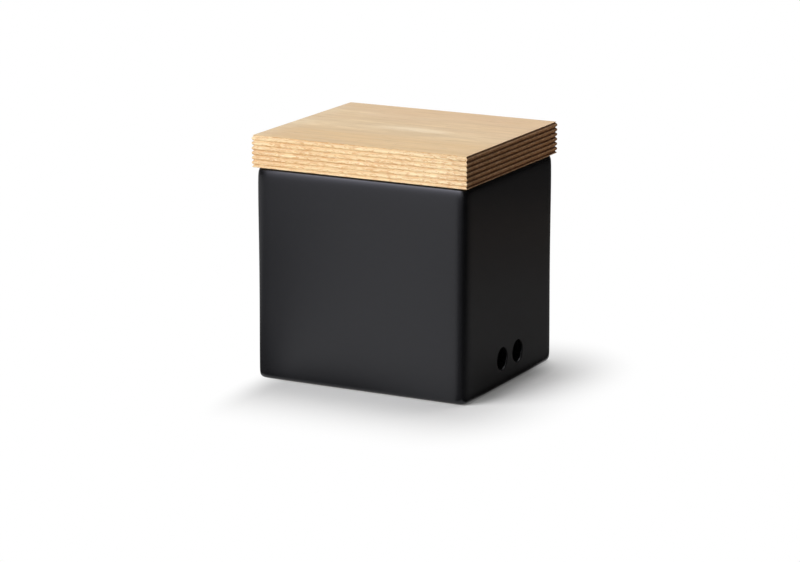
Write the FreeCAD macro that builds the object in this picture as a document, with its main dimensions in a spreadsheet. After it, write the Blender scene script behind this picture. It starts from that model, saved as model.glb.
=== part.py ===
import FreeCAD, Part
import math
import os
import Sketcher

# Garlic keeper: a rectangular ceramic pot with two vent holes low in each side wall, closed by a
# wooden lid that lifts off. The lid is a board of three staves glued edge to edge, ribbed all round,
# with a smaller plug board glued under it and a soft ring in the groove round the plug.
# Millimetres. The front faces -Y, the vent holes are in the +X and -X walls, +Z is up and the origin
# is the middle of the base, on the surface that the pot stands on.

SIZES = [
    # the pot
    ("pot_width", 130.0, "outside, left to right"),
    ("pot_depth", 112.0, "outside, front to back"),
    ("pot_height", 120.0, "base to rim"),
    ("wall_thickness", 6.0, "side walls"),
    ("floor_thickness", 6.0, "floor above the recess in the base"),
    ("outer_corner_radius", 5.5, "upright edges outside"),
    ("inner_corner_radius", 7.0, "upright corners inside"),
    ("cavity_floor_radius", 5.0, "where the walls run into the floor inside"),
    ("foot_edge_radius", 3.5, "bottom edge outside"),
    ("rim_outer_radius", 3.0, "outer edge of the rim"),
    ("rim_inner_radius", 1.6, "inner edge of the rim"),
    ("foot_ring_width", 9.0, "outside of the pot to the recess in the base"),
    ("recess_depth", 2.0, "how far the base is raised inside the foot ring"),
    ("recess_corner_radius", 4.0, "corners of the recess"),
    ("recess_edge_bevel", 1.0, "where the recess runs into the base"),
    # the vent holes
    ("vent_diameter", 12.5, "each hole"),
    ("vent_spacing", 19.5, "between the two holes of a wall, centre to centre"),
    ("vent_rise", 16.0, "hole centres above the surface that the pot stands on"),
    ("vent_edge_radius", 1.0, "soft glazed edge of a hole"),
    # the lid board
    ("lid_overhang", 1.0, "lid past the pot, each side"),
    ("lid_thickness", 18.0, "lid board"),
    ("middle_stave_width", 37.0, "middle stave, front to back"),
    ("middle_stave_shift", 8.5, "middle of that stave, in front of the middle of the lid"),
    ("lid_lower_ease", 0.4, "bevel of the lower edge"),
    ("rib_pitch", 2.7, "groove to groove"),
    ("rib_groove_width", 1.8, "mouth of a groove"),
    ("rib_groove_depth", 0.9, "point of a groove, below the faces of the ribs"),
    ("first_groove_drop", 0.5, "middle of the top groove, below the top face"),
    # the plug and its seal
    ("plug_depth", 11.0, "plug below the lid board"),
    ("plug_clearance", 2.5, "plug to the inside of the pot, each side"),
    ("plug_edge_radius", 1.5, "lower edge of the plug"),
    ("seal_groove_drop", 3.0, "seal groove below the lid board"),
    ("seal_groove_height", 5.2, "seal groove, top to bottom"),
    ("seal_groove_depth", 2.0, "seal groove into the plug"),
    ("seal_fit", 0.1, "seal ring to the groove, each side"),
    ("seal_band_inset", 0.4, "band of the seal ring, in from the face of the plug"),
    ("seal_lip_margin", 0.5, "end of the band to the nearer lip"),
    ("seal_lip_thickness", 1.2, "each lip"),
    ("seal_lip_bevel", 0.4, "both edges of a lip"),
    ("seal_lip_gap", 0.3, "lips to the inside of the pot"),
]
SEAL_LIPS = 2
NEAR = 0.001  # how close two places are to count as the same


def sizes_sheet(doc):
    """The driving sizes, one to a row, each with an alias."""
    sheet = doc.addObject("Spreadsheet::Sheet", "Sizes")
    for row, (alias, size, note) in enumerate(SIZES, start=1):
        sheet.set("A%d" % row, alias)
        sheet.set("B%d" % row, str(size))
        sheet.set("C%d" % row, note)
        sheet.setAlias("B%d" % row, alias)
    doc.recompute()
    return sheet


def new_body(doc, name, height=None):
    """An empty body, its origin raised to a height given as an expression."""
    body = doc.addObject("PartDesign::Body", name)
    body.Label = name
    if height:
        body.setExpression("Placement.Base.z", height)
    doc.recompute()
    return body


def origin_feature(body, role):
    return next(f for f in body.Origin.OriginFeatures if f.Role == role)


def new_sketch(body, name, plane="XY_Plane", offset=None):
    """A sketch on one of the body's own planes, moved along the normal by an expression."""
    sketch = body.newObject("Sketcher::SketchObject", name)
    sketch.AttachmentSupport = [(origin_feature(body, plane), "")]
    sketch.MapMode = "FlatFace"
    if offset:
        sketch.setExpression("AttachmentOffset.Base.z", offset)
    return sketch


def bind(sketch, name, kind, places, expression):
    """Adds one dimension to a sketch and ties it to an expression on the sheet."""
    size = sketch.evalExpression(expression)
    index = sketch.addConstraint(Sketcher.Constraint(kind, *places, size))
    sketch.renameConstraint(index, name)
    sketch.setExpression("Constraints." + name, expression)


def rounded_outline(sketch, name, width, depth, radius):
    """A rectangle with rounded corners about the sketch's origin, its sizes given as expressions."""
    across, along, round_off = (sketch.evalExpression(e) for e in (width, depth, radius))
    x, y = across / 2 - round_off, along / 2 - round_off
    corners = [FreeCAD.Vector(*place) for place in ((x, -y), (x, y), (-x, y), (-x, -y))]
    outwards = [FreeCAD.Vector(*way) * round_off for way in ((0, -1), (1, 0), (0, 1), (-1, 0))]
    lines, arcs = [], []
    for n, (centre, outward) in enumerate(zip(corners, outwards)):
        side = Part.LineSegment(corners[n - 1] + outward, centre + outward)
        lines.append(sketch.addGeometry(side, False))
        whole = Part.Circle(centre, FreeCAD.Vector(0, 0, 1), round_off)
        quarter = Part.ArcOfCircle(whole, (n - 1) * math.pi / 2, n * math.pi / 2)
        arcs.append(sketch.addGeometry(quarter, False))
    for n, level in enumerate(("Horizontal", "Vertical", "Horizontal", "Vertical")):
        sketch.addConstraint(Sketcher.Constraint("Tangent", lines[n], 2, arcs[n], 1))
        sketch.addConstraint(Sketcher.Constraint("Tangent", arcs[n], 2, lines[(n + 1) % 4], 1))
        sketch.addConstraint(Sketcher.Constraint(level, lines[n]))
    for arc in arcs[1:]:
        sketch.addConstraint(Sketcher.Constraint("Equal", arcs[0], arc))
    sketch.addConstraint(Sketcher.Constraint("Symmetric", arcs[0], 3, arcs[2], 3, -1, 1))
    bind(sketch, name + "_width", "DistanceX", (lines[3], 1, lines[1], 1), width)
    bind(sketch, name + "_depth", "DistanceY", (lines[0], 1, lines[2], 1), depth)
    bind(sketch, name + "_radius", "Radius", (arcs[0],), radius)


def polygon(sketch, name, corners):
    """A closed outline whose corners are pairs of expressions."""
    places = [FreeCAD.Vector(*(sketch.evalExpression(e) for e in corner)) for corner in corners]
    ends = places[1:] + places[:1]
    lines = [sketch.addGeometry(Part.LineSegment(*side), False) for side in zip(places, ends)]
    for n, (line, corner) in enumerate(zip(lines, corners)):
        following = lines[(n + 1) % len(lines)]
        sketch.addConstraint(Sketcher.Constraint("Coincident", line, 2, following, 1))
        bind(sketch, "%s_%d_across" % (name, n), "DistanceX", (-1, 1, line, 1), corner[0])
        bind(sketch, "%s_%d_up" % (name, n), "DistanceY", (-1, 1, line, 1), corner[1])


def circle(sketch, name, x, y, diameter):
    """A circle, its centre and its diameter given as expressions."""
    centre = FreeCAD.Vector(sketch.evalExpression(x), sketch.evalExpression(y))
    radius = sketch.evalExpression(diameter) / 2
    ring = sketch.addGeometry(Part.Circle(centre, FreeCAD.Vector(0, 0, 1), radius), False)
    bind(sketch, name + "_across", "DistanceX", (-1, 1, ring, 3), x)
    bind(sketch, name + "_up", "DistanceY", (-1, 1, ring, 3), y)
    bind(sketch, name + "_diameter", "Diameter", (ring,), diameter)


def pad(body, name, sketch, length):
    feature = body.newObject("PartDesign::Pad", name)
    feature.Profile = sketch
    feature.setExpression("Length", length)
    body.Document.recompute()
    return feature


def pocket(body, name, sketch, length, reverse=False):
    """Cuts a sketch to a depth, and stops if nothing is cut. It cuts against the sketch's normal,
    or along it when reversed."""
    before = body.Tip.Shape.Volume
    feature = body.newObject("PartDesign::Pocket", name)
    feature.Profile = sketch
    feature.Reversed = reverse
    feature.setExpression("Length", length)
    body.Document.recompute()
    check_cut(feature, before)
    return feature


def pocket_through(body, name, sketch):
    """Cuts a sketch through the whole body, both ways from its plane."""
    before = body.Tip.Shape.Volume
    feature = body.newObject("PartDesign::Pocket", name)
    feature.Profile = sketch
    feature.SideType = "Symmetric"
    feature.Type = "ThroughAll"
    body.Document.recompute()
    check_cut(feature, before)
    return feature


def check_cut(feature, before):
    if feature.Shape.Volume > before - NEAR:
        raise RuntimeError(feature.Name + " cuts nothing")


def pattern(body, name, original, axis, spacing, count, reverse=False):
    """Repeats a feature along one of the body's axes."""
    feature = body.newObject("PartDesign::LinearPattern", name)
    feature.Originals = [original]
    feature.Direction = (origin_feature(body, axis), [""])
    feature.Reversed = reverse
    feature.Mode = "Spacing"
    feature.setExpression("Offset", spacing)
    feature.setExpression("Occurrences", count)
    body.Tip = feature
    body.Document.recompute()
    return feature


def edges_where(feature, wanted):
    shape = feature.Shape
    return ["Edge%d" % n for n, edge in enumerate(shape.Edges, start=1) if wanted(edge.BoundBox)]


def level_at(height):
    """Picks the edges that lie flat at a height."""
    return lambda box: abs(box.ZMin - height) < NEAR and abs(box.ZMax - height) < NEAR


def reach(box):
    """How far an edge reaches from the middle of the part, along X and along Y."""
    return max(-box.XMin, box.XMax), max(-box.YMin, box.YMax)


def soften(body, name, kind, size, wanted):
    """A fillet or a chamfer on the edges that are wanted."""
    base = body.Tip
    edges = edges_where(base, wanted)
    if not edges:
        raise RuntimeError(name + " finds no edge")
    feature = body.newObject("PartDesign::" + kind, name)
    feature.Base = (base, edges)
    feature.setExpression("Radius" if kind == "Fillet" else "Size", size)
    body.Document.recompute()
    return feature


def mouth(inset):
    """The outline of the inside of the pot, taken in by an expression on every side."""
    width = "Sizes.pot_width - 2 * (Sizes.wall_thickness + %s)" % inset
    depth = "Sizes.pot_depth - 2 * (Sizes.wall_thickness + %s)" % inset
    radius = "Sizes.inner_corner_radius - (%s)" % inset
    return width, depth, radius


def ceramic_pot(doc, sheet):
    """The pot: cast outside, hollow inside, raised base with a foot ring, vent holes in the sides."""
    body = new_body(doc, "ceramic_pot")
    outside = new_sketch(body, "pot_outside")
    rounded_outline(outside, "pot", "Sizes.pot_width", "Sizes.pot_depth", "Sizes.outer_corner_radius")
    pad(body, "pot_block", outside, "Sizes.pot_height")
    soften(body, "foot_edge", "Fillet", "Sizes.foot_edge_radius", level_at(0))
    soften(body, "rim_outside", "Fillet", "Sizes.rim_outer_radius", level_at(sheet.pot_height))

    inside = new_sketch(body, "pot_inside", offset="Sizes.pot_height")
    rounded_outline(inside, "inside", *mouth("0"))
    floor = "Sizes.floor_thickness + Sizes.recess_depth"
    pocket(body, "cavity", inside, "Sizes.pot_height - (%s)" % floor)
    floor_height = sheet.floor_thickness + sheet.recess_depth
    soften(body, "cavity_floor", "Fillet", "Sizes.cavity_floor_radius", level_at(floor_height))

    def at_mouth(box):
        across, along = reach(box)
        inside = across < sheet.pot_width / 2 - sheet.wall_thickness + NEAR
        inside = inside and along < sheet.pot_depth / 2 - sheet.wall_thickness + NEAR
        return inside and level_at(sheet.pot_height)(box)

    soften(body, "rim_inside", "Fillet", "Sizes.rim_inner_radius", at_mouth)

    base = new_sketch(body, "base_outline")
    ring = "Sizes.%s - 2 * Sizes.foot_ring_width"
    rounded_outline(base, "base", ring % "pot_width", ring % "pot_depth", "Sizes.recess_corner_radius")
    pocket(body, "base_recess", base, "Sizes.recess_depth", reverse=True)
    soften(body, "recess_edge", "Chamfer", "Sizes.recess_edge_bevel", level_at(sheet.recess_depth))

    vents = new_sketch(body, "vent_circles", "YZ_Plane")
    for side, name in ((-1, "front"), (1, "back")):
        y = "%d * Sizes.vent_spacing / 2" % side
        circle(vents, name, y, "Sizes.vent_rise", "Sizes.vent_diameter")
    pocket_through(body, "vent_holes", vents)

    def at_outside(box):
        flat = box.XLength < NEAR and abs(abs(box.XMin) - sheet.pot_width / 2) < NEAR
        return flat and abs(box.ZLength - sheet.vent_diameter) < NEAR

    soften(body, "vent_edges", "Fillet", "Sizes.vent_edge_radius", at_outside)
    return body


def groove_corners(edge, facing):
    """The V of the top groove in a side at an expression, which faces 1 or -1."""
    middle = "Sizes.lid_thickness - Sizes.first_groove_drop"
    half_mouth = " Sizes.rib_groove_width / 2"
    point = "%s - (%d) * Sizes.rib_groove_depth" % (edge, facing)
    return [(edge, middle + " -" + half_mouth), (edge, middle + " +" + half_mouth), (point, middle)]


def cut_ribs(body, name, plane, sides):
    """V grooves from the top of the board down, along the sides that are given."""
    top_groove = new_sketch(body, name + "_groove", plane)
    for number, (edge, facing) in enumerate(sides):
        polygon(top_groove, "side_%d" % number, groove_corners(edge, facing))
    groove = pocket_through(body, name + "_cut", top_groove)
    count = "floor((Sizes.lid_thickness - Sizes.first_groove_drop) / Sizes.rib_pitch) + 1"
    pattern(body, name + "_ribs", groove, "Z_Axis", "Sizes.rib_pitch", count, reverse=True)


def lid_stave(doc, name, front, back, ribbed_sides):
    """One board of the lid, from front to back in Y. Its ends are ribbed, and so is each long
    side that is an outside edge of the lid."""
    body = new_body(doc, name, "Sizes.pot_height")
    end = "(Sizes.pot_width / 2 + Sizes.lid_overhang)"
    board = new_sketch(body, name + "_outline")
    polygon(board, "board", [("-" + end, front), (end, front), (end, back), ("-" + end, back)])
    pad(body, name + "_board", board, "Sizes.lid_thickness")
    end_x = board.evalExpression(end)
    side_ys = [board.evalExpression(edge) for edge, facing in ribbed_sides]

    def lower_outside(box):
        at_end = box.XLength < NEAR and abs(abs(box.XMin) - end_x) < NEAR
        at_side = box.YLength < NEAR and any(abs(box.YMin - y) < NEAR for y in side_ys)
        return box.ZMax < NEAR and (at_end or at_side)

    soften(body, name + "_ease", "Chamfer", "Sizes.lid_lower_ease", lower_outside)
    cut_ribs(body, name + "_end", "XZ_Plane", [(end, 1), ("-" + end, -1)])
    if ribbed_sides:
        cut_ribs(body, name + "_side", "YZ_Plane", ribbed_sides)
    return body


def lid_staves(doc):
    """The three boards, glued along two lines that run left to right."""
    edge = "(Sizes.pot_depth / 2 + Sizes.lid_overhang)"
    front_line = "(-Sizes.middle_stave_shift - Sizes.middle_stave_width / 2)"
    back_line = "(-Sizes.middle_stave_shift + Sizes.middle_stave_width / 2)"
    return [
        lid_stave(doc, "lid_front_stave", "-" + edge, front_line, [("-" + edge, -1)]),
        lid_stave(doc, "lid_middle_stave", front_line, back_line, []),
        lid_stave(doc, "lid_back_stave", back_line, edge, [(edge, 1)]),
    ]


PLUG_FACE = "Sizes.plug_clearance"
NECK_FACE = "Sizes.plug_clearance + Sizes.seal_groove_depth"


def lid_plug(doc):
    """The board under the lid that drops into the mouth, with a groove for the seal."""
    body = new_body(doc, "lid_plug", "Sizes.pot_height - Sizes.plug_depth")
    outline = new_sketch(body, "plug_outline")
    rounded_outline(outline, "plug", *mouth(PLUG_FACE))
    pad(body, "plug_board", outline, "Sizes.plug_depth")
    soften(body, "plug_edge", "Fillet", "Sizes.plug_edge_radius", level_at(0))
    groove = new_sketch(body, "seal_groove_outline", offset="Sizes.plug_depth - Sizes.seal_groove_drop")
    rounded_outline(groove, "outside", *mouth("0"))
    rounded_outline(groove, "neck", *mouth(NECK_FACE))
    pocket(body, "seal_groove", groove, "Sizes.seal_groove_height")
    return body


def lid_seal_ring(doc):
    """The soft ring: a band in the plug's groove, with lips towards the inside of the pot."""
    groove_floor = "Sizes.pot_height - Sizes.seal_groove_drop - Sizes.seal_groove_height"
    band_height = "(Sizes.seal_groove_height - 2 * Sizes.seal_fit)"
    inner_face = NECK_FACE + " - Sizes.seal_fit"
    body = new_body(doc, "lid_seal_ring", groove_floor + " + Sizes.seal_fit")
    band = new_sketch(body, "band_outline")
    rounded_outline(band, "band", *mouth(PLUG_FACE + " + Sizes.seal_band_inset"))
    rounded_outline(band, "inner", *mouth(inner_face))
    pad(body, "band", band, band_height)

    lip = new_sketch(body, "lip_outline", offset="Sizes.seal_lip_margin")
    rounded_outline(lip, "lip", *mouth("Sizes.seal_lip_gap"))
    rounded_outline(lip, "inner", *mouth(inner_face))
    lower_lip = pad(body, "lower_lip", lip, "Sizes.seal_lip_thickness")
    spacing = band_height + " - 2 * Sizes.seal_lip_margin - Sizes.seal_lip_thickness"
    pattern(body, "lips", lower_lip, "Z_Axis", spacing, str(SEAL_LIPS))

    outline = lip.Shape.BoundBox

    def tip(box):
        reaches_side = max(abs(box.XMin), abs(box.XMax)) > outline.XMax - NEAR
        reaches_front = max(abs(box.YMin), abs(box.YMax)) > outline.YMax - NEAR
        return box.ZLength < NEAR and (reaches_side or reaches_front)

    soften(body, "lip_tips", "Chamfer", "Sizes.seal_lip_bevel", tip)
    return body


def check(doc, parts):
    """Stops before anything is written if an object or a solid isn't sound."""
    for item in doc.Objects:
        if "Invalid" in item.State or "Error" in item.State:
            raise RuntimeError("%s has failed: %s" % (item.Name, item.State))
    for part in parts:
        shape = part.Shape
        if shape.isNull() or not shape.isValid() or len(shape.Solids) != 1:
            raise RuntimeError(part.Label + " is not one valid solid")
        box = shape.optimalBoundingBox()
        sides = "%.1f x %.1f x %.1f mm" % (box.XLength, box.YLength, box.ZLength)
        print("%-18s %s, from z %.1f, %.1f cm3" % (part.Label, sides, box.ZMin, shape.Volume / 1000))


def main():
    doc = FreeCAD.newDocument("garlic_keeper")
    sheet = sizes_sheet(doc)
    parts = [ceramic_pot(doc, sheet), *lid_staves(doc), lid_plug(doc), lid_seal_ring(doc)]
    doc.recompute()
    check(doc, parts)
    os.makedirs("parts", exist_ok=True)
    for part in parts:
        part.Shape.exportStep("parts/%s.step" % part.Label)


main()
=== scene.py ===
import math

import bmesh
import bpy
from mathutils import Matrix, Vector


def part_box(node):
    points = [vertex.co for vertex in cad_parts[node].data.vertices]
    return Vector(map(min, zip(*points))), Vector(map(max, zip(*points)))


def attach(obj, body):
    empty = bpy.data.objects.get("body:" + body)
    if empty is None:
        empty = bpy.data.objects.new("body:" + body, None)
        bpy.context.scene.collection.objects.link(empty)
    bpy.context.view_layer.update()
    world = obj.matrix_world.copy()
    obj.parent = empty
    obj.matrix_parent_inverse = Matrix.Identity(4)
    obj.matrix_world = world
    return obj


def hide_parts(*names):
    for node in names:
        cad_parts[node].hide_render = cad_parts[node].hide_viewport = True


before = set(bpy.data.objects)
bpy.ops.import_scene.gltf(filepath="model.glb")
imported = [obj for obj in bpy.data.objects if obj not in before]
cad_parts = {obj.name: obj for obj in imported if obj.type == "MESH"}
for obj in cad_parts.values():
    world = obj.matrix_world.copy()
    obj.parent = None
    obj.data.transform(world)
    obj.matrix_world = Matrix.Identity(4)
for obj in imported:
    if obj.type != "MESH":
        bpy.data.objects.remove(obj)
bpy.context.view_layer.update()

# A garlic keeper: a rectangular pot in satin black glaze with two vent holes low in each side wall,
# and a ribbed lid of three glued boards that lifts off with the plug and the soft ring under it.
# Metres. The front faces -Y, the boards' grain runs along X, and the pot stands on z = 0.

MM = 0.001
POT_LOW, POT_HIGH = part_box("ceramic_pot")
WALL = 6 * MM
CAVITY_FLOOR = 8 * MM
BOARD_LOW, BOARD_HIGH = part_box("lid_front_stave")
LID_TOP, LID_END, LID_EDGE = BOARD_HIGH.z, BOARD_HIGH.x, -BOARD_LOW.y
SEAM_YS = (-27 * MM, 10 * MM)         # the glue lines between the three boards


# ---------------------------------------------------------------- node maths

class Number:
    """A shader value. Arithmetic on it adds Math nodes to the finish that it belongs to."""

    def __init__(self, finish, socket):
        self.finish, self.socket = finish, socket

    def maths(self, operation, *others):
        values = dict(enumerate((self, *others)))
        return self.finish.node("ShaderNodeMath", {"operation": operation}, values)

    def __add__(self, other):
        return self.maths("ADD", other)

    def __sub__(self, other):
        return self.maths("SUBTRACT", other)

    def __rsub__(self, other):
        return self.finish.node("ShaderNodeMath", {"operation": "SUBTRACT"}, {0: other, 1: self})

    def __mul__(self, other):
        return self.maths("MULTIPLY", other)

    def __truediv__(self, other):
        return self.maths("DIVIDE", other)

    def __pow__(self, other):
        return self.maths("POWER", other)

    def __abs__(self):
        return self.maths("ABSOLUTE")

    __radd__, __rmul__ = __add__, __mul__


def largest(first, *others):
    for other in others:
        first = first.maths("MAXIMUM", other)
    return first


def hypotenuse(along, aside):
    return (along * along + aside * aside) ** 0.5


class Finish:
    """One material, or the world, with its nodes added by name."""

    def __init__(self, name, world=None):
        self.material = world or bpy.data.materials.new(name)
        self.material.use_nodes = True
        self.tree = self.material.node_tree
        self.tree.nodes.clear()

    def node(self, kind, settings=None, sockets=None, output=0):
        """A node with its settings first and then the values or links of its sockets."""
        made = self.tree.nodes.new(kind)
        for name, value in (settings or {}).items():
            setattr(made, name, value)
        for name, value in (sockets or {}).items():
            if isinstance(value, Number):
                self.tree.links.new(value.socket, made.inputs[name])
            else:
                made.inputs[name].default_value = value
        return None if output is None else Number(self, made.outputs[output])

    def place(self):
        return self.node("ShaderNodeTexCoord", output="Object")

    def across(self, place):
        """The three coordinates of a place."""
        return [self.node("ShaderNodeSeparateXYZ", None, {0: place}, axis) for axis in range(3)]

    def stretched(self, place, scale, shift=(0, 0, 0)):
        return self.node("ShaderNodeMapping", None, {"Vector": place, "Location": shift, "Scale": scale})

    def noise(self, place, scale, detail=2.0, roughness=0.5, distortion=0.0):
        return self.node("ShaderNodeTexNoise", None, {
            "Vector": place, "Scale": scale, "Detail": detail,
            "Roughness": roughness, "Distortion": distortion})

    def band(self, value, start, end, low=0.0, high=1.0):
        """Goes smoothly from low at start to high at end."""
        sockets = {"Value": value, 1: start, 2: end, 3: low, 4: high}
        return self.node("ShaderNodeMapRange", {"interpolation_type": "SMOOTHSTEP"}, sockets)

    def blend(self, share, first, second):
        sockets = {"Factor": share, 6: first, 7: second}
        return self.node("ShaderNodeMix", {"data_type": "RGBA"}, sockets, output=2)

    def layered(self, colour, *layers):
        """A colour with others laid over it in turn, each with its share before it."""
        for share, tint in layers:
            colour = self.blend(share, colour, tint)
        return colour

    def coated(self, colour, roughness, gloss, relief, depth, strength, sheen=(1.0, 1.0, 1.0, 1.0)):
        """The finished surface. A relief of 1 stands out by the depth, softened by the strength."""
        bump = self.node("ShaderNodeBump", None, {"Strength": strength, "Distance": depth, "Height": relief})
        return self.surface(self.node("ShaderNodeBsdfPrincipled", None, {
            "Base Color": colour, "Roughness": roughness, "Specular IOR Level": gloss,
            "Specular Tint": sheen, "Normal": bump}))

    def matt(self, colour):
        return self.surface(self.node("ShaderNodeBsdfDiffuse", None, {"Color": colour}))

    def surface(self, shader, kind="Material"):
        self.node("ShaderNodeOutput" + kind, None, {"Surface": shader}, output=None)
        return self.material


def grey(level):
    return (level, level, level, 1.0)


# ---------------------------------------------------------------- glaze and seal

GLAZE_DEEP = (0.0045, 0.0045, 0.0052, 1.0)
GLAZE_CLOUD = (0.0062, 0.0062, 0.0070, 1.0)
# painted light for the shaded cavity: a lighter glaze inside
GLAZE_INSIDE_PAINTED_LIGHT = (0.015, 0.015, 0.0165, 1.0)
GLAZE_THIN = (0.024, 0.015, 0.010, 1.0)
GLAZE_SHEEN = (0.94, 0.95, 1.0, 1.0)
GLAZE_GLOSS = 0.41
CLAY = (0.40, 0.30, 0.21, 1.0)
CLAY_WORN = (0.27, 0.20, 0.14, 1.0)
SILICONE = (0.78, 0.78, 0.745, 1.0)
SILICONE_DULL = (0.62, 0.615, 0.57, 1.0)
SILICONE_GLOSS = 0.4


def satin_black_glaze():
    """Clouded, faintly rippled glaze: thin and brown along the rim, painted light inside, none on the foot.
    """
    finish = Finish("satin_black_glaze")
    place = finish.place()
    x, y, z = finish.across(place)
    cloud = finish.noise(place, 18.0)
    ripple = finish.noise(place, 900.0)
    grit = finish.noise(place, 2600.0, 2.0, 0.7)
    drift = finish.noise(place, 260.0, 3.0, 0.6) * MM
    # painted light: the cavity's walls and floor are made lighter so that their shaded form shows
    inner_x, inner_y = POT_HIGH.x - WALL, POT_HIGH.y - WALL
    inside = 1.0 - finish.band(abs(x), inner_x, inner_x + 1.5 * MM)
    inside = inside * (1.0 - finish.band(abs(y), inner_y, inner_y + 1.5 * MM))
    inside = inside * finish.band(z, CAVITY_FLOOR - 2 * MM, CAVITY_FLOOR - 0.5 * MM)
    thin = finish.band(z + drift, POT_HIGH.z - 1 * MM, POT_HIGH.z + 0.5 * MM, 0.0, 0.8)
    bare = 1.0 - finish.band(z + drift * 0.2, 0.30 * MM, 0.42 * MM)
    clay = finish.blend(finish.band(grit, 0.45, 0.65), CLAY, CLAY_WORN)
    colour = finish.layered(
        finish.blend(cloud, GLAZE_DEEP, GLAZE_CLOUD),
        (inside, GLAZE_INSIDE_PAINTED_LIGHT),
        (thin, GLAZE_THIN),
        (bare, clay))
    roughness = bare * 0.6 + (cloud * 0.03 + 0.245)
    relief = ripple + grit * bare * 2.0
    return finish.coated(colour, roughness, GLAZE_GLOSS, relief, 0.2 * MM, 0.08, GLAZE_SHEEN)


def soft_seal():
    """Milky silicone, clouded and rubbed dull in rings."""
    finish = Finish("soft_seal")
    place = finish.place()
    cloud = finish.noise(place, 55.0, 3.0, 0.6)
    rubbed = finish.noise(finish.stretched(place, (1, 1, 6)), 420.0, 2.0, 0.6)
    colour = finish.layered(
        SILICONE,
        (finish.band(cloud, 0.35, 0.70), SILICONE_DULL),
        (finish.band(rubbed, 0.52, 0.74, 0.0, 0.35), SILICONE_DULL))
    roughness = finish.band(cloud, 0.3, 0.7, 0.42, 0.60)
    return finish.coated(colour, roughness, SILICONE_GLOSS, rubbed, 0.1 * MM, 0.15)


# ---------------------------------------------------------------- wood

WOOD_PALEST = (0.95, 0.79, 0.56, 1.0)
WOOD_PALE = (0.84, 0.655, 0.42, 1.0)
WOOD_DEEP = (0.66, 0.475, 0.27, 1.0)
WOOD_HONEY = (0.74, 0.50, 0.25, 1.0)
WOOD_AGED = (0.78, 0.67, 0.50, 1.0)
WOOD_BLUSH = (0.70, 0.475, 0.28, 1.0)
WOOD_LATE = (0.52, 0.345, 0.18, 1.0)
WOOD_PORE = (0.33, 0.20, 0.10, 1.0)
EDGE_CREAM = (0.93, 0.725, 0.43, 1.0)
# painted highlight for the front and back edges
EDGE_PAINTED_HIGHLIGHT = (1.0, 0.85, 0.58, 1.0)
EDGE_FLECK = (0.60, 0.29, 0.10, 1.0)
END_PALE = (0.85, 0.57, 0.335, 1.0)
END_DEEP = (0.55, 0.335, 0.175, 1.0)
# painted shade for the grooves' ledges and floors; the groove tan also draws the glue lines
LEDGE_PAINTED_SHADE = (0.68, 0.50, 0.29, 1.0)
GROOVE_SHADE_AND_GLUE_TAN = (0.50, 0.27, 0.11, 1.0)
GROOVE_PAINTED_SHADE = (0.14, 0.06, 0.022, 1.0)
OIL_GLOSS = 0.35
RING_PITCH = 5.5 * MM
WANDER = 9 * MM                       # how far the grain strays from a straight line
PALE_LENGTH, PALE_WIDTH = 40 * MM, 8 * MM         # how far a pale streak reaches from its middle


class Wood(Finish):
    """Hardwood with its grain along X. Each board has its own stretch of the same grain, and growth
    rings round its heart, a line beside the board given by its Y and Z."""

    def __init__(self, name, heart, seed):
        super().__init__(name)
        self.spot = self.place()
        self.x, self.y, self.z = self.across(self.spot)
        self.start = (seed, seed * 0.37, seed * 0.73)
        self.cloud = self.grain((16, 62, 62), 3.0, 0.55, 0.4)
        self.streak = self.grain((34, 520, 520), 4.0, 0.6)
        self.fibre = self.grain((170, 3000, 3000))
        self.patch = self.grain((30, 80, 170))
        self.cell = self.noise(self.spot, 1500.0, 3.0, 0.7)
        self.wander = self.grain((13, 34, 34)) * WANDER
        ring = (hypotenuse(self.y - heart[0], self.z - heart[1]) + self.wander) * (2 * math.pi / RING_PITCH)
        self.late_wood = self.band(ring.maths("SINE"), 0.2, 1.0)
        facing_x, facing_y, self.facing_z = self.across(self.node("ShaderNodeTexCoord", output="Normal"))
        self.on_edge = self.band(abs(facing_y), 0.4, 0.6)
        self.on_end = self.band(abs(facing_x), 0.4, 0.6)

    def grain(self, scale, detail=2.0, roughness=0.5, distortion=0.0, fineness=1.0):
        """Noise drawn out along the grain."""
        spot = self.stretched(self.spot, scale, self.start)
        return self.noise(spot, fineness, detail, roughness, distortion)


def planed_face(wood, pale_at, honey):
    """Clouded wood with a pale streak: honey towards the front, aged at the left end and blushed at
    the back right, with growth rings, streaks, fibres and pores."""
    along = (wood.x - pale_at[0]) / PALE_LENGTH
    aside = (wood.y - pale_at[1] + wood.wander - WANDER / 2) / PALE_WIDTH
    pale = 1.0 - wood.band(hypotenuse(along, aside), 0.2, 1.1)
    blush = wood.grain((11, 30, 30))
    mottle = wood.grain((70, 230, 230), 3.0, 0.6)
    dash = wood.grain((95, 1500, 1500), 1.0)
    return wood.layered(
        WOOD_DEEP,
        (wood.band(wood.cloud, 0.33, 0.68, 0.04, 0.96), WOOD_PALE),
        (pale * 0.66, WOOD_PALEST),
        (wood.band(wood.y, -6 * MM, -34 * MM, honey, honey + 0.70), WOOD_HONEY),
        (wood.band(wood.x + wood.wander, -44 * MM, -66 * MM, 0.0, 0.45), WOOD_AGED),
        (wood.band(blush, 0.50, 0.72, 0.0, 0.50), WOOD_BLUSH),
        (wood.band(wood.x * 0.6 + wood.y, -5 * MM, 70 * MM, 0.0, 0.65), WOOD_BLUSH),
        (wood.band(mottle, 0.46, 0.66, 0.0, 0.40), WOOD_DEEP),
        (wood.late_wood * 0.13, WOOD_LATE),
        (wood.band(wood.streak, 0.50, 0.68, 0.0, 0.30), WOOD_LATE),
        (wood.band(wood.fibre, 0.40, 0.75, 0.0, 0.20), WOOD_LATE),
        (wood.band(dash, 0.72, 0.78, 0.0, 0.55), WOOD_PORE))


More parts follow.
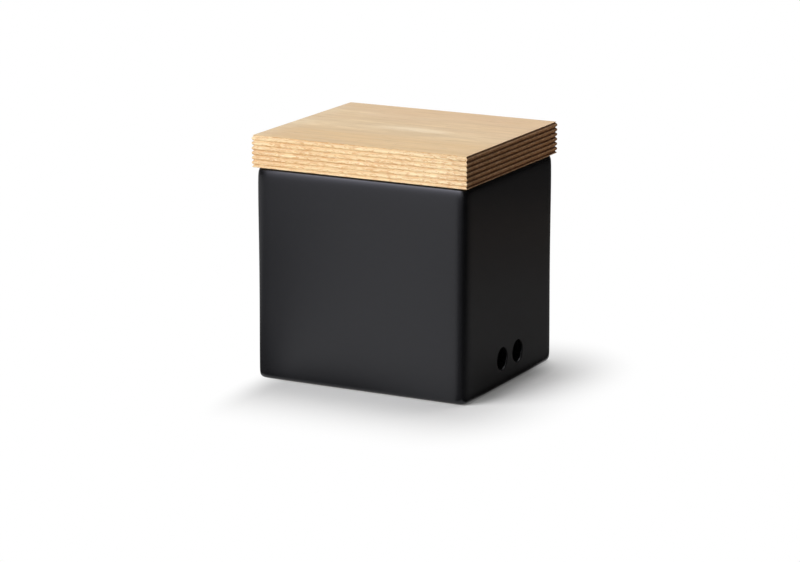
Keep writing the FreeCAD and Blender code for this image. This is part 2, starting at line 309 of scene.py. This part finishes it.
def torn_by_saw(wood):
    """Where the front and back edges show flecks."""
    torn = wood.grain((280, 1300, 1300), 2.0, 0.6, 0.6)
    split = wood.grain((140, 1000, 1200), 2.0, 0.6, 0.3)
    fleck = wood.band(torn + wood.patch * 0.35, 0.66, 0.76)
    return largest(fleck, wood.band(split + wood.patch * 0.2, 0.64, 0.72) * 0.7) * wood.on_edge


def sawn_edge(wood, colour, fleck):
    """Creamy front and back edges with their flecks, and painted highlights in streaks that grow towards the
    right end.
    """
    # painted highlight in streaks, and painted light that grows towards the lid's right end
    painted_highlight = wood.band(wood.grain((90, 700, 900), fineness=0.7), 0.55, 0.7)
    painted_highlight = painted_highlight * 0.5 + wood.band(wood.x, -20 * MM, LID_END, 0.0, 0.40)
    return wood.layered(
        colour,
        (wood.on_edge * 0.55, EDGE_CREAM),
        (painted_highlight * wood.on_edge, EDGE_PAINTED_HIGHLIGHT),
        (fleck * 0.66, EDGE_FLECK))


def end_grain(wood, colour):
    """Smeared, open grain on the boards' ends."""
    smear = wood.grain((260, 260, 800), 3.0, 0.65)
    end_colour = wood.layered(
        END_DEEP,
        (wood.band(wood.cell * 0.35 + smear * 0.65, 0.42, 0.60), END_PALE),
        (wood.late_wood * 0.35, END_DEEP))
    return wood.blend(wood.on_end, colour, end_colour)


def groove_shade_and_glue(wood, colour):
    """Painted shade in the grooves, browner on the edges and darker on the ends, and the thin glue lines
    between the boards.
    """
    below_top = wood.band(LID_TOP - wood.z, 0.05 * MM, 0.25 * MM)
    from_side = (LID_END - abs(wood.x)).maths("MINIMUM", LID_EDGE - abs(wood.y))
    in_groove = wood.band(from_side, 0.20 * MM, 0.75 * MM) * below_top
    on_ledge = wood.band(wood.facing_z, 0.3, 0.6) * wood.band(from_side, 0.05 * MM, 0.25 * MM) * below_top
    ragged = wood.band(wood.grain((260, 500, 260), 3.0, 0.7), 0.44, 0.60)
    # painted shade on the downward flanks under the grooves' lips
    shade_under_lip = (1.0 - wood.band(wood.facing_z, -0.6, -0.3)) * ragged * in_groove * wood.on_edge
    seam = abs(SEAM_YS[0] - wood.y).maths("MINIMUM", abs(wood.y - SEAM_YS[1]))
    glue = 1.0 - wood.band(seam, 0.05 * MM, 0.22 * MM)
    # painted shade by groove depth and on the ledges, darkest on the ends; the glue lines are the boards'
    # own joints
    return wood.layered(
        colour,
        (shade_under_lip * 0.08, GROOVE_SHADE_AND_GLUE_TAN),
        (in_groove * wood.on_edge * (wood.patch * 0.05), GROOVE_SHADE_AND_GLUE_TAN),
        (on_ledge * wood.on_edge * 0.50, LEDGE_PAINTED_SHADE),
        (largest(in_groove * 0.25, on_ledge * 0.88) * wood.on_end, GROOVE_PAINTED_SHADE),
        (glue * 0.30, GROOVE_SHADE_AND_GLUE_TAN))


def oiled_wood(name, heart, pale_at, honey, seed):
    """Oiled hardwood. A pale streak lies at an X and Y. Honey warms one board against the next."""
    wood = Wood(name, heart, seed)
    fleck = torn_by_saw(wood)
    colour = planed_face(wood, pale_at, honey)
    colour = sawn_edge(wood, colour, fleck)
    colour = end_grain(wood, colour)
    colour = groove_shade_and_glue(wood, colour)
    roughness = wood.band(wood.cloud + wood.streak * 0.5, 0.5, 1.0, 0.42, 0.58)
    roughness = roughness + wood.on_edge * 0.12 + wood.on_end * 0.15
    relief = wood.fibre * 0.5 + wood.streak * 0.6 + fleck * -1.2 + wood.cell * wood.on_end * 0.8
    return wood.coated(colour, roughness, OIL_GLOSS, relief, 0.25 * MM, 0.35)


# ---------------------------------------------------------------- modelling

SOFT_ANGLE = math.radians(35)         # edges sharper than this stay crisp
TOUCH = 0.05 * MM                     # places closer together than this are the same
HAIR = 0.1 * MM


def near(value, wanted):
    return abs(value - wanted) < TOUCH


def choose(*pieces):
    """Selects these pieces and nothing else, the first one active."""
    bpy.ops.object.select_all(action="DESELECT")
    for piece in pieces:
        piece.select_set(True)
    bpy.context.view_layer.objects.active = pieces[0]


def pick(kind, wanted):
    """Selects what is wanted of the piece in edit mode: its verts, edges or faces."""
    bpy.ops.mesh.select_mode(type={"verts": "VERT", "edges": "EDGE", "faces": "FACE"}[kind])
    bpy.ops.mesh.select_all(action="DESELECT")
    mesh = bpy.context.edit_object.data
    for part in getattr(bmesh.from_edit_mesh(mesh), kind):
        if wanted(part):
            part.select_set(True)
    bmesh.update_edit_mesh(mesh)


def slice_at(axis, *places):
    """Cuts loops round the whole piece where a coordinate has each of the values."""
    for place in places:
        point, way = Vector(), Vector()
        point[axis], way[axis] = place, 1
        bpy.ops.mesh.select_all(action="SELECT")
        bpy.ops.mesh.bisect(plane_co=point, plane_no=way)


def inset(*widths):
    for width in widths:
        bpy.ops.mesh.inset(thickness=width)


def extrude(x, y, z):
    bpy.ops.mesh.extrude_region_move(TRANSFORM_OT_translate={"value": (x, y, z)})


def shift(x, y, z):
    bpy.ops.transform.translate(value=(x, y, z))


def stretch(value, centre=(0, 0, 0)):
    bpy.ops.transform.resize(value=value, center_override=centre)


def apply_modifier(piece, kind, **settings):
    modifier = piece.modifiers.new(kind.lower(), kind)
    for name, value in settings.items():
        setattr(modifier, name, value)
    bpy.context.view_layer.objects.active = piece
    bpy.ops.object.modifier_apply(modifier=modifier.name)


def smooth_and_paint(piece, finish):
    """Smooth faces between crisp edges, and one finish all over."""
    choose(piece)
    bpy.ops.object.shade_smooth_by_angle(angle=SOFT_ANGLE)
    apply_modifier(piece, "WEIGHTED_NORMAL", keep_sharp=True)
    piece.data.materials.clear()
    piece.data.materials.append(finish)


def dress(node, finish):
    """Gives a piece that keeps its shape its finish."""
    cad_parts[node].data.materials[0] = finish


# ---------------------------------------------------------------- the pot

FOOT_RING = 9 * MM
BASE_RECESS = 2 * MM
RECESS_EDGE = 1.5 * MM                # the loop that rounds the edge of the recess
OUTER_SUPPORT = 8.6 * MM              # loops that hold the upright edges, in from the outside
INNER_SUPPORT = 12.3 * MM             # the same for the corners of the cavity, in from its walls
SHOULDER = 114 * MM                   # where the walls start to lean in towards the rim
WAIST = 60 * MM                       # where they are a little hollow
LOOPS_X = -40 * MM, 0, 40 * MM        # the loops between the upright edges
LOOPS_Y = -30 * MM, 0, 30 * MM
LOOPS_Z = 6.2 * MM, 17 * MM, WAIST, 102 * MM, SHOULDER
EASE = 0.05 * MM                      # how far the walls fall back towards the upright edges
FALL_BACK = {WAIST: 0.30 * MM, SHOULDER: 0.08 * MM, POT_HIGH.z: 0.35 * MM}    # the same by height
VENT_RADIUS = 6.25 * MM
VENT_RISE = 16 * MM
VENT_OFFSET = 9.75 * MM
VENT_FLARE = 0.75 * MM                # radius of the rounded edge of a vent hole
FLARE_START = 64.25 * MM              # how far out from the pot's middle that edge starts
CUTTER_START = 50 * MM                # the same for the bar that cuts the hole
CUTTER_SPARE = 2 * MM                 # how far the bar runs on outside


def pot_block():
    """The cast shape as a cage: outside, foot ring, raised base and cavity."""
    bpy.ops.object.select_all(action="DESELECT")
    bpy.ops.mesh.primitive_cube_add(size=1)
    pot = bpy.context.object
    pot.name = "glazed_pot"
    bpy.ops.object.mode_set(mode="EDIT")
    stretch(POT_HIGH - POT_LOW)
    shift(0, 0, POT_HIGH.z / 2)
    pick("faces", lambda face: face.normal.z < -0.9)
    inset(FOOT_RING / 2, FOOT_RING / 2)
    extrude(0, 0, BASE_RECESS)
    inset(RECESS_EDGE)
    pick("faces", lambda face: face.normal.z > 0.9)
    inset(0.7 * WALL, 0.3 * WALL)
    extrude(0, 0, CAVITY_FLOOR - POT_HIGH.z)
    hold_x, hold_y = POT_HIGH.x - OUTER_SUPPORT, POT_HIGH.y - OUTER_SUPPORT
    slice_at(0, -hold_x, *LOOPS_X, hold_x)
    slice_at(1, -hold_y, *LOOPS_Y, hold_y)
    slice_at(2, *LOOPS_Z)
    widen_cavity_corners(hold_x, hold_y)
    ease_walls(hold_x, hold_y)
    bpy.ops.object.mode_set(mode="OBJECT")
    return pot


def widen_cavity_corners(hold_x, hold_y):
    """Moves the loops inside the cavity away from its corners, which are rounder than those outside."""
    inner_x, inner_y = POT_HIGH.x - WALL, POT_HIGH.y - WALL
    for side in (-1, 1):
        pick("verts", lambda v: near(v.co.x, side * hold_x) and abs(v.co.y) < inner_y + HAIR
             and v.co.z > CAVITY_FLOOR - HAIR)
        shift(side * (inner_x - INNER_SUPPORT - hold_x), 0, 0)
        pick("verts", lambda v: near(v.co.y, side * hold_y) and abs(v.co.x) < inner_x + HAIR
             and v.co.z > CAVITY_FLOOR - HAIR)
        shift(0, side * (inner_y - INNER_SUPPORT - hold_y), 0)


def ease_walls(hold_x, hold_y):
    """Lets the outside walls fall back a little towards their upright edges, waist and rim."""
    skin_x, skin_y = POT_HIGH.x - 1 * MM, POT_HIGH.y - 1 * MM
    for side in (-1, 1):
        pick("verts", lambda v: near(v.co.x, side * POT_HIGH.x) and abs(v.co.y) > hold_y - HAIR)
        shift(-side * EASE, 0, 0)
        pick("verts", lambda v: near(v.co.y, side * POT_HIGH.y) and abs(v.co.x) > hold_x - HAIR)
        shift(0, -side * EASE, 0)
        for height, back in FALL_BACK.items():
            pick("verts", lambda v: near(v.co.z, height) and side * v.co.x > skin_x)
            shift(-side * back, 0, 0)
            pick("verts", lambda v: near(v.co.z, height) and side * v.co.y > skin_y)
            shift(0, -side * back, 0)


def vent_cutter(side, y):
    """A round bar through a side wall, flared where it comes out."""
    bpy.ops.object.select_all(action="DESELECT")
    bpy.ops.mesh.primitive_circle_add(vertices=72, radius=VENT_RADIUS, fill_type="NGON",
                                      location=(side * CUTTER_START, y, VENT_RISE),
                                      rotation=(0, math.pi / 2, 0))
    bpy.ops.object.transform_apply(location=True, rotation=True, scale=True)
    bpy.ops.object.mode_set(mode="EDIT")
    bpy.ops.mesh.select_all(action="SELECT")
    extrude(side * (FLARE_START - CUTTER_START), 0, 0)
    x, radius = FLARE_START, VENT_RADIUS
    for degrees in range(10, 90, 10):
        turn = math.radians(degrees)
        next_x = FLARE_START + VENT_FLARE * math.sin(turn)
        next_radius = VENT_RADIUS + VENT_FLARE * (1 - math.cos(turn))
        extrude(side * (next_x - x), 0, 0)
        stretch((1, next_radius / radius, next_radius / radius), (side * next_x, y, VENT_RISE))
        x, radius = next_x, next_radius
    extrude(side * CUTTER_SPARE, 0, 0)
    bpy.ops.mesh.select_all(action="SELECT")
    bpy.ops.mesh.normals_make_consistent(inside=False)
    bpy.ops.object.mode_set(mode="OBJECT")
    return bpy.context.object


def glazed_pot(finish):
    """The whole pot: the cage made round, with four vent holes cut through it."""
    pot = pot_block()
    apply_modifier(pot, "SUBSURF", levels=3)
    cutters = [vent_cutter(side, y) for side in (-1, 1) for y in (-VENT_OFFSET, VENT_OFFSET)]
    choose(*cutters)
    bpy.ops.object.join()
    apply_modifier(pot, "BOOLEAN", operation="DIFFERENCE", solver="EXACT", object=cutters[0])
    bpy.data.objects.remove(cutters[0])
    smooth_and_paint(pot, finish)
    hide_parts("ceramic_pot")
    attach(pot, "pot")


# ---------------------------------------------------------------- the lid's boards

ARRIS = 0.14 * MM
SHARP_TURN = 0.3                      # radians


def is_arris(edge):
    """A sharp outward edge that doesn't lie on a glued face."""
    if len(edge.link_faces) != 2 or edge.calc_face_angle_signed() < SHARP_TURN:
        return False
    ends = [vert.co.y for vert in edge.verts]
    return not any(near(ends[0], seam) and near(ends[1], seam) for seam in SEAM_YS)


def eased_board(node, finish):
    """A board of the lid with its arrises rubbed down."""
    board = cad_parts[node].copy()
    board.data = board.data.copy()
    board.name = node + "_eased"
    bpy.context.scene.collection.objects.link(board)
    choose(board)
    bpy.ops.mesh.customdata_custom_splitnormals_clear()
    bpy.ops.object.mode_set(mode="EDIT")
    bpy.ops.mesh.select_all(action="SELECT")
    bpy.ops.mesh.mark_sharp(clear=True)
    bpy.ops.mesh.remove_doubles(threshold=0.001 * MM)
    bpy.ops.mesh.dissolve_limited(angle_limit=0.001)
    pick("edges", is_arris)
    bpy.ops.mesh.bevel(offset=ARRIS, segments=2, affect="EDGES")
    bpy.ops.object.mode_set(mode="OBJECT")
    smooth_and_paint(board, finish)
    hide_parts(node)
    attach(board, "lid")


# ---------------------------------------------------------------- the stage

PAPER = 0.88
PAINTED_FOOT_SHADOW = 0.4                        # painted contact shadow: share of the paper's tone that is left by the foot of the pot
FOOT_SHADOW_BESIDE = 13 * MM             # how far out from the pot's sides the painted shadow reaches
FOOT_SHADOW_FROM, FOOT_SHADOW_OVER = 26 * MM, 30 * MM   # where it starts to clear along them, and over how far
GLOW_NEAR, GLOW_FAR = 0.09, 1.0       # share of plain white in the paper, at the pot and far off
GLOW_MIRRORED = 0.35                  # the same at the pot, as its glaze shows it
GLOW_END = 90 * MM                    # how far from the shadow's core the paper turns plain white
CORE_LEFT, CORE_RIGHT = -44 * MM, 61 * MM
CORE_FRONT, CORE_BACK = -56 * MM, 16 * MM
FADE_LEFT, FADE_RIGHT = 3.5, 1.35     # how fast the shadow fades to each side, against the front
FRONT_SLANT = 0.5215                  # the front cards' gradients run this far sideways a step forward
TURN_X, TURN_Y = 60 * MM, -51 * MM    # the middle of the pot's front right corner
CARD_GREY, GAUZE_GREY = 0.02, 0.04
SHEET_TINT = (0.96, 0.95, 1.04, 1.0)  # the glowing sheet is a little cool
SHEET_AZIMUTH = -38                   # where it stands, how far off, and half its width
SHEET_AWAY, SHEET_HALF = 1.3, 1.3
SHEET_FOOT, SHEET_TOP = 0.01, 1.9
WORLD_SCATTERED, WORLD_MIRRORED = 0.04, 0.8


def towards(azimuth, elevation):
    """A unit vector: azimuth 0 is the front, -Y, and 90 the right, +X."""
    a, e = math.radians(azimuth), math.radians(elevation)
    return Vector((math.sin(a) * math.cos(e), -math.cos(a) * math.cos(e), math.sin(e)))


def seen_straight(finish):
    """1 for rays from the camera, or by way of gloss or glass, and 0 for scattered light."""
    ways = ("Is Camera Ray", "Is Glossy Ray", "Is Transmission Ray")
    return largest(*(finish.node("ShaderNodeLightPath", output=way) for way in ways))


def away_from_pot(finish):
    """How far a place on the floor lies from the core of the shadow."""
    x, y, _ = finish.across(finish.place())
    beside = largest((x - CORE_RIGHT) * FADE_RIGHT, (CORE_LEFT - x) * FADE_LEFT, 0.0)
    before = largest(y - CORE_BACK, CORE_FRONT - y, 0.0)
    return hypotenuse(beside, before)


def studio_paper():
    """Pale paper that keeps the pot's shadow and turns plain white away from it, with a painted shadow by
    the pot's foot.
    """
    finish = Finish("studio_paper")
    away = away_from_pot(finish)
    x, y, _ = finish.across(finish.place())
    # painted shadow: the paper's tone, and the white that the glaze mirrors of it, darken beside the foot
    beside = largest(abs(x) - POT_HIGH.x, 0.0) / FOOT_SHADOW_BESIDE
    before = largest(abs(y) - FOOT_SHADOW_FROM, 0.0) / FOOT_SHADOW_OVER
    clear_of_foot_shadow = finish.band(hypotenuse(beside, before), 0.0, 1.0)
    level = (clear_of_foot_shadow * (1 - PAINTED_FOOT_SHADOW) + PAINTED_FOOT_SHADOW) * PAPER
    matt = finish.node("ShaderNodeBsdfDiffuse", None, {"Color": level})
    white = finish.node("ShaderNodeEmission", None, {"Strength": 1.0})
    seen = finish.node("ShaderNodeLightPath", output="Is Camera Ray")
    glow = finish.band(away, 0.0, GLOW_END, GLOW_NEAR, GLOW_FAR)
    mirrored = finish.band(away, 0.0, GLOW_END, GLOW_MIRRORED, GLOW_FAR)
    share = seen * glow + (seen_straight(finish) - seen) * mirrored * clear_of_foot_shadow
    return finish.surface(finish.node("ShaderNodeMixShader", None, {0: share, 1: matt, 2: white}))


def graded_card(name, level):
    """Matt card whose level is given as a function of the place on it."""
    finish = Finish(name)
    x, y, _ = finish.across(finish.place())
    return finish.matt(level(finish, x, y))


def dusk(finish, x, y):
    """Lighter by the pot than half a metre off."""
    return finish.band(hypotenuse(x, y), 0.10, 0.42, 0.29, 0.085)


def dusk_from_corner(finish, x, y):
    """Dusk that is black beside the front corner and along the foot of the wall."""
    turn = (y - TURN_Y) / (x - TURN_X)
    off_wall = finish.band(x, POT_HIGH.x + 0.5 * MM, POT_HIGH.x + 9 * MM, 0.08, 1.0)
    backwards = finish.band(y, 0.0, 95 * MM, 0.95, 1.15)
    return dusk(finish, x, y) * finish.band(turn, -2.0, 1.6, 0.05, 1.0) * off_wall * backwards


def twilight(finish, x, y):
    """Behind the pot, where it is lighter than at its right."""
    return finish.band(hypotenuse(x, y), 0.08, 0.60, 0.62, 0.30)


def gauze(name, density):
    """See-through black card whose density is given as a function of the place on it."""
    finish = Finish(name)
    x, y, _ = finish.across(finish.place())
    clear = finish.node("ShaderNodeBsdfTransparent")
    black = finish.node("ShaderNodeBsdfDiffuse", None, {"Color": grey(GAUZE_GREY)})
    shares = {0: density(finish, x, y), 1: clear, 2: black}
    return finish.surface(finish.node("ShaderNodeMixShader", None, shares))


def left_density(finish, x, y):
    """Dims the left end of the front wall, and its foot."""
    ahead = POT_LOW.y - y
    on_wall = x + ahead * FRONT_SLANT
    end = finish.band(on_wall, -60 * MM, -45 * MM, 0.82, 0.0)
    end = end * finish.band(on_wall, -300 * MM, -110 * MM, 0.30, 1.0)
    foot = finish.band(abs(ahead), 0.0, 58 * MM, 0.62, 0.0)
    foot = foot * finish.band(on_wall, 50 * MM, -10 * MM, 0.0, 1.0)
    return 1.0 - (1.0 - end) * (1.0 - foot)


def corner_density(finish, x, y):
    """Black grows round the front corner, as seen from its middle."""
    turn = (x - TURN_X) / (TURN_Y - y)
    return finish.band(turn, -0.42, -0.14, 0.0, 0.97)


def sheet_of(name, corners, material):
    """A flat stage piece with the corners given in order."""
    mesh = bpy.data.meshes.new(name)
    mesh.from_pydata(corners, [], [range(len(corners))])
    mesh.materials.append(material)
    sheet = bpy.data.objects.new(name, mesh)
    bpy.context.scene.collection.objects.link(sheet)
    return sheet


def card(name, corners, material, scattered=False):
    """A dark card that only darkens what the pot mirrors and, if asked, the light that comes back."""
    sheet = sheet_of(name, corners, material)
    sheet.visible_camera = False
    sheet.visible_shadow = False
    sheet.visible_diffuse = scattered
    return sheet


def lying(height, *corners):
    """The corners of a level sheet, each given by its X and Y."""
    return [(x, y, height) for x, y in corners]


def standing(first, second, low, high):
    """The corners of an upright sheet between two places, each given by its X and Y."""
    return [(*first, low), (*second, low), (*second, high), (*first, high)]


def graded_wall():
    """Big glowing sheet at the front left that only the gloss shows, brighter towards its top."""
    finish = Finish("graded_wall")
    _, _, z = finish.across(finish.place())
    glow = finish.band(z, -0.4, 2.4, 1.0, 11.8)
    finish.surface(finish.node("ShaderNodeEmission", None, {"Color": SHEET_TINT, "Strength": glow}))
    middle, side = towards(SHEET_AZIMUTH, 0) * SHEET_AWAY, towards(SHEET_AZIMUTH + 90, 0) * SHEET_HALF
    corners = standing((middle - side).xy, (middle + side).xy, SHEET_FOOT, SHEET_TOP)
    card("graded_wall", corners, finish.material)


CARD_SIDE = 65.5 * MM                 # where the cards on the floor start beside the pot
CARD_FRONT, CARD_BACK = -57.5 * MM, 60 * MM       # the same before and behind it
CARD_CORNER = (CARD_SIDE, -61.2 * MM)             # the same at its front right corner
SHADE_SIDE, SHADE_END = 66.5 * MM, 160 * MM       # where the shade below the lid's right end starts and ends
SHADE_HALF, SHADE_RISE = 120 * MM, 118.5 * MM     # half its depth, and its height
RIGHT_WALL, BACK_WALL = 1.0, 1.2                  # how far off the black walls stand
LEFT_END = (-90.5 * MM, -109 * MM), (-223 * MM, -40 * MM)   # the card that the rim's left end mirrors
LIFT = 0.3 * MM                       # how far the cards lie above the floor
FAR = 1.5
FLOOR_REACH = 8


def floor_and_cards():
    """The paper, and the cards that the glaze mirrors on each side."""
    black = Finish("black_card").matt(grey(CARD_GREY))
    sheet_of("studio_floor",
             lying(0, (-FLOOR_REACH, -FLOOR_REACH), (FLOOR_REACH, -FLOOR_REACH),
                   (FLOOR_REACH, FLOOR_REACH), (-FLOOR_REACH, FLOOR_REACH)),
             studio_paper())
    card("card_right",
         lying(LIFT, CARD_CORNER, (0.45, -FAR), (1.2, -FAR), (1.2, FAR), (CARD_SIDE, FAR)),
         graded_card("right_card", dusk_from_corner))
    card("card_right_wall", standing((RIGHT_WALL, -FAR), (RIGHT_WALL, FAR), 0, 1.2), black, scattered=True)
    card("card_back",
         lying(LIFT, (-0.6, CARD_BACK), (CARD_SIDE, CARD_BACK), (CARD_SIDE, FAR), (-0.6, FAR)),
         graded_card("twilight_card", twilight))
    card("card_back_wall", standing((0.14, BACK_WALL), (RIGHT_WALL, BACK_WALL), 0, 1.0), black)
    card("card_left_end", standing(*LEFT_END, 0.108, 0.32), black)
    card("gauze_corner",
         lying(LIFT, (0.057, CARD_FRONT), (-0.613, -FAR), (0.45, -FAR), CARD_CORNER),
         gauze("corner_gauze", corner_density))
    card("gauze_left",
         lying(LIFT, (0.052, CARD_FRONT), (-CARD_SIDE, CARD_FRONT), (-CARD_SIDE, CARD_BACK),
               (-3.6, CARD_BACK), (-3.6, -4.0), (-2.0, -4.0)),
         gauze("left_gauze", left_density))
    shade = card("end_shade",
                 lying(SHADE_RISE, (SHADE_SIDE, -SHADE_HALF), (SHADE_END, -SHADE_HALF),
                       (SHADE_END, SHADE_HALF), (SHADE_SIDE, SHADE_HALF)),
                 black, scattered=True)
    shade.visible_glossy = False


# ---------------------------------------------------------------- light and camera

WARM = (1.0, 0.71, 0.51)
LENS_MM = 142.4
SENSOR_MM = 36.0
TARGET = Vector((-0.00385, 0.0, 0.05038))
CAMERA_AZIMUTH = 27.55
CAMERA_ELEVATION = 13.57
CAMERA_DISTANCE = 1.7771


def studio_world():
    """Dim for scattered light, bright in the gloss and plain white for the camera."""
    finish = Finish("studio_world", bpy.data.worlds.new("studio_world"))
    bpy.context.scene.world = finish.material
    level = finish.band(seen_straight(finish), 0.0, 1.0, WORLD_SCATTERED, WORLD_MIRRORED)
    level = level + finish.node("ShaderNodeLightPath", output="Is Camera Ray") * (1.0 - WORLD_MIRRORED)
    sockets = {"Color": grey(1.0), "Strength": level}
    finish.surface(finish.node("ShaderNodeBackground", None, sockets), "World")


def soft_box(name, azimuth, elevation, distance, width, height, level,
             aim=(0, 0, 0.07), tint=(1, 1, 1), mirrored=False):
    """A soft box. Its level is what a white surface that faces it from the aim point renders as."""
    lamp = bpy.data.lights.new(name, "AREA")
    lamp.shape = "RECTANGLE"
    lamp.size, lamp.size_y = width, height
    lamp.energy = level * math.pi ** 2 * distance ** 2
    lamp.color = tint
    rig = bpy.data.objects.new(name, lamp)
    bpy.context.scene.collection.objects.link(rig)
    way = towards(azimuth, elevation)
    rig.location = Vector(aim) + way * distance
    rig.rotation_euler = way.to_track_quat("Z", "Y").to_euler()
    rig.visible_camera = False
    rig.visible_glossy = mirrored


def set_camera():
    camera = bpy.data.cameras.new("camera")
    camera.lens, camera.sensor_width = LENS_MM, SENSOR_MM
    camera.clip_start, camera.clip_end = 0.05, 50.0
    rig = bpy.data.objects.new("camera", camera)
    bpy.context.scene.collection.objects.link(rig)
    way = towards(CAMERA_AZIMUTH, CAMERA_ELEVATION)
    rig.location = TARGET + way * CAMERA_DISTANCE
    rig.rotation_euler = way.to_track_quat("Z", "Y").to_euler()
    bpy.context.scene.camera = rig


# ---------------------------------------------------------------- the whole scene

glazed_pot(satin_black_glaze())
eased_board("lid_front_stave", oiled_wood(
    "front_board_wood", heart=(-0.060, 0.165), pale_at=(0.030, -0.040), honey=0.12, seed=3.1))
eased_board("lid_middle_stave", oiled_wood(
    "middle_board_wood", heart=(-0.004, 0.095), pale_at=(0.009, -0.002), honey=0.05, seed=7.4))
eased_board("lid_back_stave", oiled_wood(
    "back_board_wood", heart=(0.050, 0.180), pale_at=(-0.025, 0.030), honey=0.16, seed=12.9))
dress("lid_plug", oiled_wood(
    "plug_wood", heart=(0.020, 0.060), pale_at=(0.020, -0.010), honey=0.15, seed=21.5))
dress("lid_seal_ring", soft_seal())

floor_and_cards()
graded_wall()
studio_world()
soft_box("key", azimuth=-35, elevation=26, distance=2.4, width=1.64, height=1.75, level=1.20)
soft_box("top", azimuth=170, elevation=72, distance=0.9, width=0.6, height=0.5, level=0.50,
         mirrored=True)
soft_box("fill", azimuth=140, elevation=-14, distance=0.42, width=0.4, height=0.045, level=0.195,
         aim=(0.066, 0, 0.129), tint=WARM)
set_camera()
bpy.context.scene.view_settings.view_transform = "Standard"
